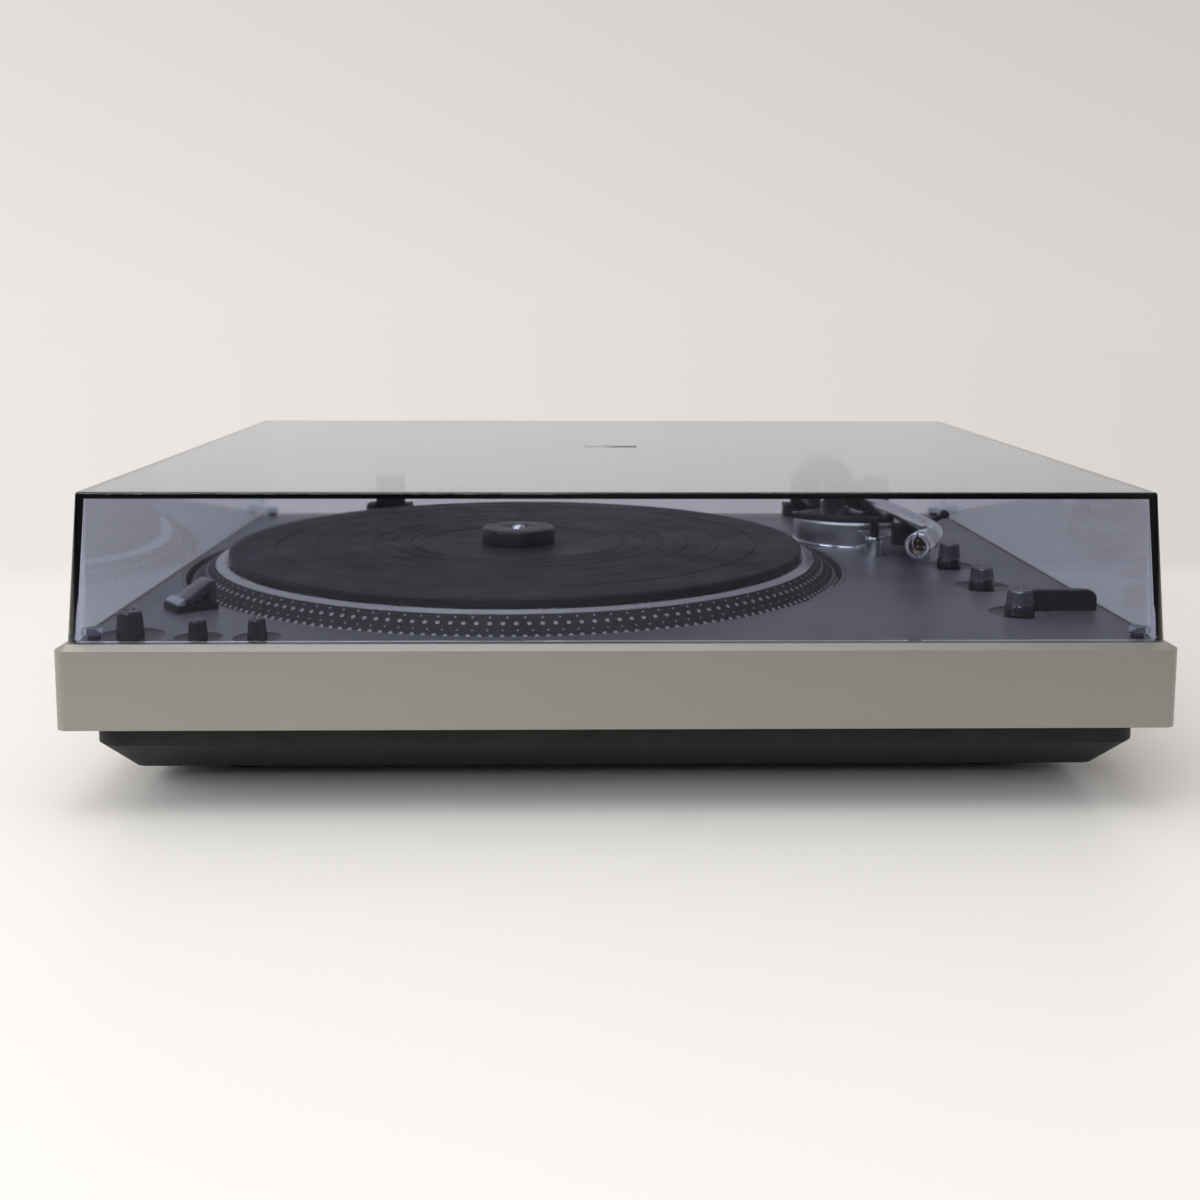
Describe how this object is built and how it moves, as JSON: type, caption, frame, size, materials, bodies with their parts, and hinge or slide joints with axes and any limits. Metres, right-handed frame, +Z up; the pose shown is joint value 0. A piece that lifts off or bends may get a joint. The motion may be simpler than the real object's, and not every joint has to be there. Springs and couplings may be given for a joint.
{
  "type": "turntable record player",
  "caption": "Direct-drive record player: low silver cabinet on a black tub, smoke dust cover, strobe-dotted platter with mat, S-shaped tone arm and rotary controls.",
  "frame": {"origin": "on the surface the feet stand on, under the centre of the bounding box", "axes": "+X to the player's right, +Y to its rear, +Z up"},
  "size_m": [0.453, 0.366, 0.1307],
  "materials": {
    "black_plastic": "fine matt moulding",
    "rubber": "matt",
    "screw_steel": "zinc plated",
    "cabinet_finish": "warm champagne silver, satin",
    "deck_paint": "dark silver, satin",
    "chassis_steel": "zinc plated sheet",
    "cast_alloy": "as cast",
    "nylon": "plain",
    "bronze": "turned",
    "board": "circuit board",
    "copper": "enamelled wire",
    "smoke_plastic": "smoke grey",
    "clear_plastic": "clear",
    "lamp_glass": "neon lamp",
    "satin_silver": "satin",
    "plated_metal": "nickel plated",
    "core_steel": "laminated steel",
    "winding_tape": "yellow winding tape",
    "smoke_acrylic": "smoke tint, polished",
    "platter_alloy": "machined, black band with dots",
    "mat_rubber": "soft matt",
    "polished_steel": "polished",
    "magnet": "ferrite",
    "black_gloss": "semi gloss",
    "knob_silver": "satin metallic",
    "black_metal": "satin black",
    "arm_chrome": "bright satin",
    "socket_insulator": "brown moulding",
    "gold_contact": "gold plated",
    "weight_black": "satin black over a zinc core"
  },
  "bodies": {
    "plinth": {"base_tub": "black_plastic", "feet": "rubber", "case_screws": "screw_steel", "cabinet": "cabinet_finish", "deck_panel": "deck_paint", "motor_chassis": "chassis_steel", "bearing_housing": "cast_alloy", "thrust_pad": "nylon", "bearing_bush": "bronze", "stator_board": "board", "stator_coils": "copper", "control_pots": "chassis_steel", "strobe_plinth": "black_plastic", "strobe_hood": "smoke_plastic", "strobe_lens": "clear_plastic", "strobe_lamp": "lamp_glass", "tonearm_base": "satin_silver", "arm_sleeve": "cast_alloy", "lifter_cylinder": "satin_silver", "arm_rest": "black_plastic", "hinge_brackets": "black_plastic", "hinge_pins": "screw_steel", "terminal_box": "black_plastic", "phono_sockets": "plated_metal", "earth_terminal": "plated_metal", "mains_inlet": "black_plastic", "transformer_bracket": "chassis_steel", "transformer_core": "core_steel", "transformer_coil": "winding_tape", "drive_board": "board", "board_components": "black_plastic"},
    "lid": {"dust_cover": "smoke_acrylic", "lid_badge": "satin_silver", "lid_bumpers": "rubber", "hinge_leaves": "black_plastic"},
    "turntable": {"platter": "platter_alloy", "platter_mat": "mat_rubber", "spindle": "polished_steel", "rotor_magnet": "magnet"},
    "adaptor": {"record_adaptor": "black_gloss"},
    "power_switch": {"power_knob": "black_gloss"},
    "pitch_33": {"pitch_knob_33": "black_gloss"},
    "pitch_45": {"pitch_knob_45": "black_gloss"},
    "size_selector": {"size_knob": "knob_silver"},
    "speed_selector": {"speed_knob": "knob_silver"},
    "cue": {"cue_lever": "knob_silver"},
    "lifter": {"lifter_bar": "black_plastic"},
    "yoke": {"arm_yoke": "black_metal"},
    "tonearm": {"gimbal_block": "black_metal", "arm_tube": "arm_chrome", "arm_collar": "arm_chrome", "socket_plug": "socket_insulator", "socket_contacts": "gold_contact", "rear_stub": "arm_chrome"},
    "dial": {"force_dial": "black_gloss"},
    "weight": {"counterweight": "weight_black"},
    "antiskate": {"antiskate_dial": "black_gloss"},
    "clip": {"rest_clip": "black_plastic"}
  },
  "joints": [
    {"name": "lid_hinge", "type": "hinge", "parent": "plinth", "child": "lid", "pos_m": [0, 0.1775, 0.0741], "axis": [-1, 0, 0], "range_deg": [0, 65]},
    {"name": "platter_spin", "type": "hinge", "parent": "plinth", "child": "turntable", "pos_m": [-0.0485, 0.0019, 0.0769], "axis": [0, 0, 1], "continuous": true},
    {"name": "adaptor_lift", "type": "slide", "parent": "turntable", "child": "adaptor", "axis": [0, 0, 1], "range_m": [0, 0.014]},
    {"name": "power_turn", "type": "hinge", "parent": "plinth", "child": "power_switch", "pos_m": [-0.2008, -0.1627, 0.0697], "axis": [0, 0, -1], "range_deg": [0, 60]},
    {"name": "pitch_33_turn", "type": "hinge", "parent": "plinth", "child": "pitch_33", "pos_m": [-0.1723, -0.1664, 0.0697], "axis": [0, 0, -1], "range_deg": [-140, 140]},
    {"name": "pitch_45_turn", "type": "hinge", "parent": "plinth", "child": "pitch_45", "pos_m": [-0.1482, -0.1665, 0.0697], "axis": [0, 0, -1], "range_deg": [-140, 140]},
    {"name": "size_turn", "type": "hinge", "parent": "plinth", "child": "size_selector", "pos_m": [0.1771, -0.0084, 0.0697], "axis": [0, 0, -1], "range_deg": [0, 60]},
    {"name": "speed_turn", "type": "hinge", "parent": "plinth", "child": "speed_selector", "pos_m": [0.1789, -0.0627, 0.0697], "axis": [0, 0, -1], "range_deg": [0, 45]},
    {"name": "cue_turn", "type": "hinge", "parent": "plinth", "child": "cue", "pos_m": [0.1794, -0.1213, 0.0697], "axis": [0, 0, -1], "range_deg": [0, 45]},
    {"name": "lifter_drop", "type": "slide", "parent": "plinth", "child": "lifter", "axis": [0, 0, 1], "range_m": [-0.006, 0]},
    {"name": "arm_swing", "type": "hinge", "parent": "plinth", "child": "yoke", "pos_m": [0.143, 0.074, 0.095], "axis": [0, 0, -1], "range_deg": [0, 50]},
    {"name": "arm_raise", "type": "hinge", "parent": "yoke", "child": "tonearm", "pos_m": [0.143, 0.074, 0.095], "axis": [-0.9844, -0.1761, 0], "range_deg": [0, 6]},
    {"name": "dial_turn", "type": "hinge", "parent": "tonearm", "child": "dial", "pos_m": [0.13648, 0.11042, 0.095], "axis": [-0.1761, 0.9844, 0], "range_deg": [-360, 360]},
    {"name": "weight_travel", "type": "slide", "parent": "dial", "child": "weight", "axis": [-0.1761, 0.9844, 0], "range_m": [-0.002, 0.002]},
    {"name": "antiskate_turn", "type": "hinge", "parent": "plinth", "child": "antiskate", "pos_m": [0.17, 0.049, 0.08], "axis": [0, 0, -1], "range_deg": [0, 270]},
    {"name": "clip_swing", "type": "hinge", "parent": "plinth", "child": "clip", "pos_m": [0.1654, -0.001, 0.0905], "axis": [0, -1, 0], "range_deg": [0, 55]}
  ],
  "couplings": [
    {"joint": "cue_turn", "follows": "lifter_drop", "rad_per_m": -130.89},
    {"joint": "dial_turn", "follows": "weight_travel", "rad_per_m": 3141.6}
  ]
}
